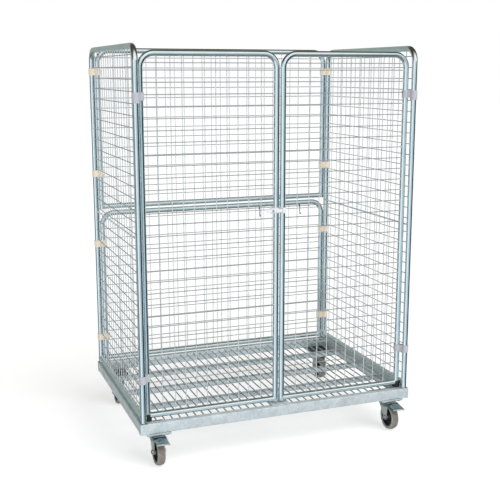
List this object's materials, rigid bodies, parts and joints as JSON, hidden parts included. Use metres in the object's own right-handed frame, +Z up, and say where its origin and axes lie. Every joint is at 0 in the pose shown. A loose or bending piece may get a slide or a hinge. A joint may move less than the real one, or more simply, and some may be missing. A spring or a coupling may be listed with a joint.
{
  "type": "roll cage container",
  "caption": "Steel mesh roll cage for a pallet load: base on four swivel castors, mesh sides and two-piece rear wall, and two hinged mesh doors that fold back outside the sides.",
  "frame": {"origin": "on the floor, at the centre of the whole object's footprint box (30 mm in front of the base's own centre, because the front wheels and pedals stand out in front)", "axes": "+Z up, +X to the right as seen from the doors, +Y from the doors towards the rear wall"},
  "size_m": [1.34, 1.01, 1.842],
  "materials": {
    "zinc_tube": "satin",
    "zinc_wire": "satin",
    "zinc_beam": "matte",
    "castor_zinc": "satin",
    "pedal_steel": "satin",
    "fastener_steel": "satin",
    "tyre": "matte",
    "hub_plastic": "satin",
    "door_clip_plastic": "satin",
    "rear_clip_plastic": "satin",
    "latch_plastic": "satin",
    "black_plastic": "matte"
  },
  "bodies": {
    "frame": {"base_beam_front": "zinc_beam", "base_beam_rear": "zinc_beam", "base_beam_left": "zinc_beam", "base_beam_right": "zinc_beam", "corner_posts": "zinc_beam", "deck_bars": "zinc_wire", "cross_members": "zinc_beam", "left_side_hoop": "zinc_tube", "left_side_rail": "zinc_tube", "left_side_mesh": "zinc_wire", "right_side_hoop": "zinc_tube", "right_side_rail": "zinc_tube", "right_side_mesh": "zinc_wire", "side_bars": "zinc_wire", "rear_upper_hoop": "zinc_tube", "rear_upper_rail": "zinc_tube", "rear_upper_mesh": "zinc_wire", "rear_lower_hoop": "zinc_tube", "rear_lower_rail": "zinc_tube", "rear_lower_mesh": "zinc_wire", "rear_clips": "rear_clip_plastic", "leg_collars": "door_clip_plastic", "door_stop": "zinc_beam", "castor_pads": "zinc_beam", "castor_plates": "castor_zinc", "castor_bolts": "fastener_steel"},
    "left_door": {"left_door_hoop": "zinc_tube", "left_door_rail": "zinc_tube", "left_door_mesh": "zinc_wire", "left_door_clips": "door_clip_plastic", "left_door_foot": "black_plastic", "latch_bracket": "latch_plastic", "latch_screw": "fastener_steel"},
    "right_door": {"right_door_hoop": "zinc_tube", "right_door_rail": "zinc_tube", "right_door_mesh": "zinc_wire", "right_door_clips": "door_clip_plastic", "right_door_foot": "black_plastic", "latch_keeper": "latch_plastic"},
    "latch": {"latch_lever": "latch_plastic"},
    "left_hold_open_hook": {"left_hook": "zinc_wire"},
    "right_hold_open_hook": {"right_hook": "zinc_wire"},
    "front_left_swivel": {"front_left_fork": "castor_zinc", "front_left_axle": "fastener_steel"},
    "front_left_wheel": {"front_left_hub": "hub_plastic", "front_left_tyre": "tyre"},
    "front_left_brake": {"front_left_pedal": "pedal_steel"},
    "front_right_swivel": {"front_right_fork": "castor_zinc", "front_right_axle": "fastener_steel"},
    "front_right_wheel": {"front_right_hub": "hub_plastic", "front_right_tyre": "tyre"},
    "front_right_brake": {"front_right_pedal": "pedal_steel"},
    "rear_left_swivel": {"rear_left_fork": "castor_zinc", "rear_left_axle": "fastener_steel"},
    "rear_left_wheel": {"rear_left_hub": "hub_plastic", "rear_left_tyre": "tyre"},
    "rear_right_swivel": {"rear_right_fork": "castor_zinc", "rear_right_axle": "fastener_steel"},
    "rear_right_wheel": {"rear_right_hub": "hub_plastic", "rear_right_tyre": "tyre"}
  },
  "joints": [
    {"name": "left_door_hinge", "type": "hinge", "parent": "frame", "child": "left_door", "pos_m": [-0.6525, -0.4275, 1], "axis": [0, 0, -1], "range_deg": [0, 270]},
    {"name": "right_door_hinge", "type": "hinge", "parent": "frame", "child": "right_door", "pos_m": [0.6525, -0.4275, 1], "axis": [0, 0, 1], "range_deg": [0, 270]},
    {"name": "latch_pivot", "type": "hinge", "parent": "left_door", "child": "latch", "pos_m": [-0.0375, -0.41625, 1.1165], "axis": [0, -1, 0], "range_deg": [0, 90]},
    {"name": "left_hook_swing", "type": "hinge", "parent": "left_door", "child": "left_hold_open_hook", "pos_m": [-0.097, -0.3995, 1.1315], "axis": [-1, 0, 0], "range_deg": [0, 120]},
    {"name": "right_hook_swing", "type": "hinge", "parent": "right_door", "child": "right_hold_open_hook", "pos_m": [0.097, -0.3995, 1.1315], "axis": [-1, 0, 0], "range_deg": [0, 120]},
    {"name": "front_left_swivel_turn", "type": "hinge", "parent": "frame", "child": "front_left_swivel", "pos_m": [-0.585, -0.375, 0.14], "axis": [0, 0, 1], "continuous": true},
    {"name": "front_left_wheel_roll", "type": "hinge", "parent": "front_left_swivel", "child": "front_left_wheel", "pos_m": [-0.585, -0.417, 0.0625], "axis": [1, 0, 0], "continuous": true},
    {"name": "front_left_brake_press", "type": "hinge", "parent": "front_left_swivel", "child": "front_left_brake", "pos_m": [-0.585, -0.379, 0.123], "axis": [1, 0, 0], "range_deg": [0, 8]},
    {"name": "front_right_swivel_turn", "type": "hinge", "parent": "frame", "child": "front_right_swivel", "pos_m": [0.585, -0.375, 0.14], "axis": [0, 0, 1], "continuous": true},
    {"name": "front_right_wheel_roll", "type": "hinge", "parent": "front_right_swivel", "child": "front_right_wheel", "pos_m": [0.585, -0.417, 0.0625], "axis": [1, 0, 0], "continuous": true},
    {"name": "front_right_brake_press", "type": "hinge", "parent": "front_right_swivel", "child": "front_right_brake", "pos_m": [0.585, -0.379, 0.123], "axis": [1, 0, 0], "range_deg": [0, 8]},
    {"name": "rear_left_swivel_turn", "type": "hinge", "parent": "frame", "child": "rear_left_swivel", "pos_m": [-0.585, 0.435, 0.14], "axis": [0, 0, 1], "continuous": true},
    {"name": "rear_left_wheel_roll", "type": "hinge", "parent": "rear_left_swivel", "child": "rear_left_wheel", "pos_m": [-0.585, 0.393, 0.0625], "axis": [1, 0, 0], "continuous": true},
    {"name": "rear_right_swivel_turn", "type": "hinge", "parent": "frame", "child": "rear_right_swivel", "pos_m": [0.585, 0.435, 0.14], "axis": [0, 0, 1], "continuous": true},
    {"name": "rear_right_wheel_roll", "type": "hinge", "parent": "rear_right_swivel", "child": "rear_right_wheel", "pos_m": [0.585, 0.393, 0.0625], "axis": [1, 0, 0], "continuous": true}
  ]
}
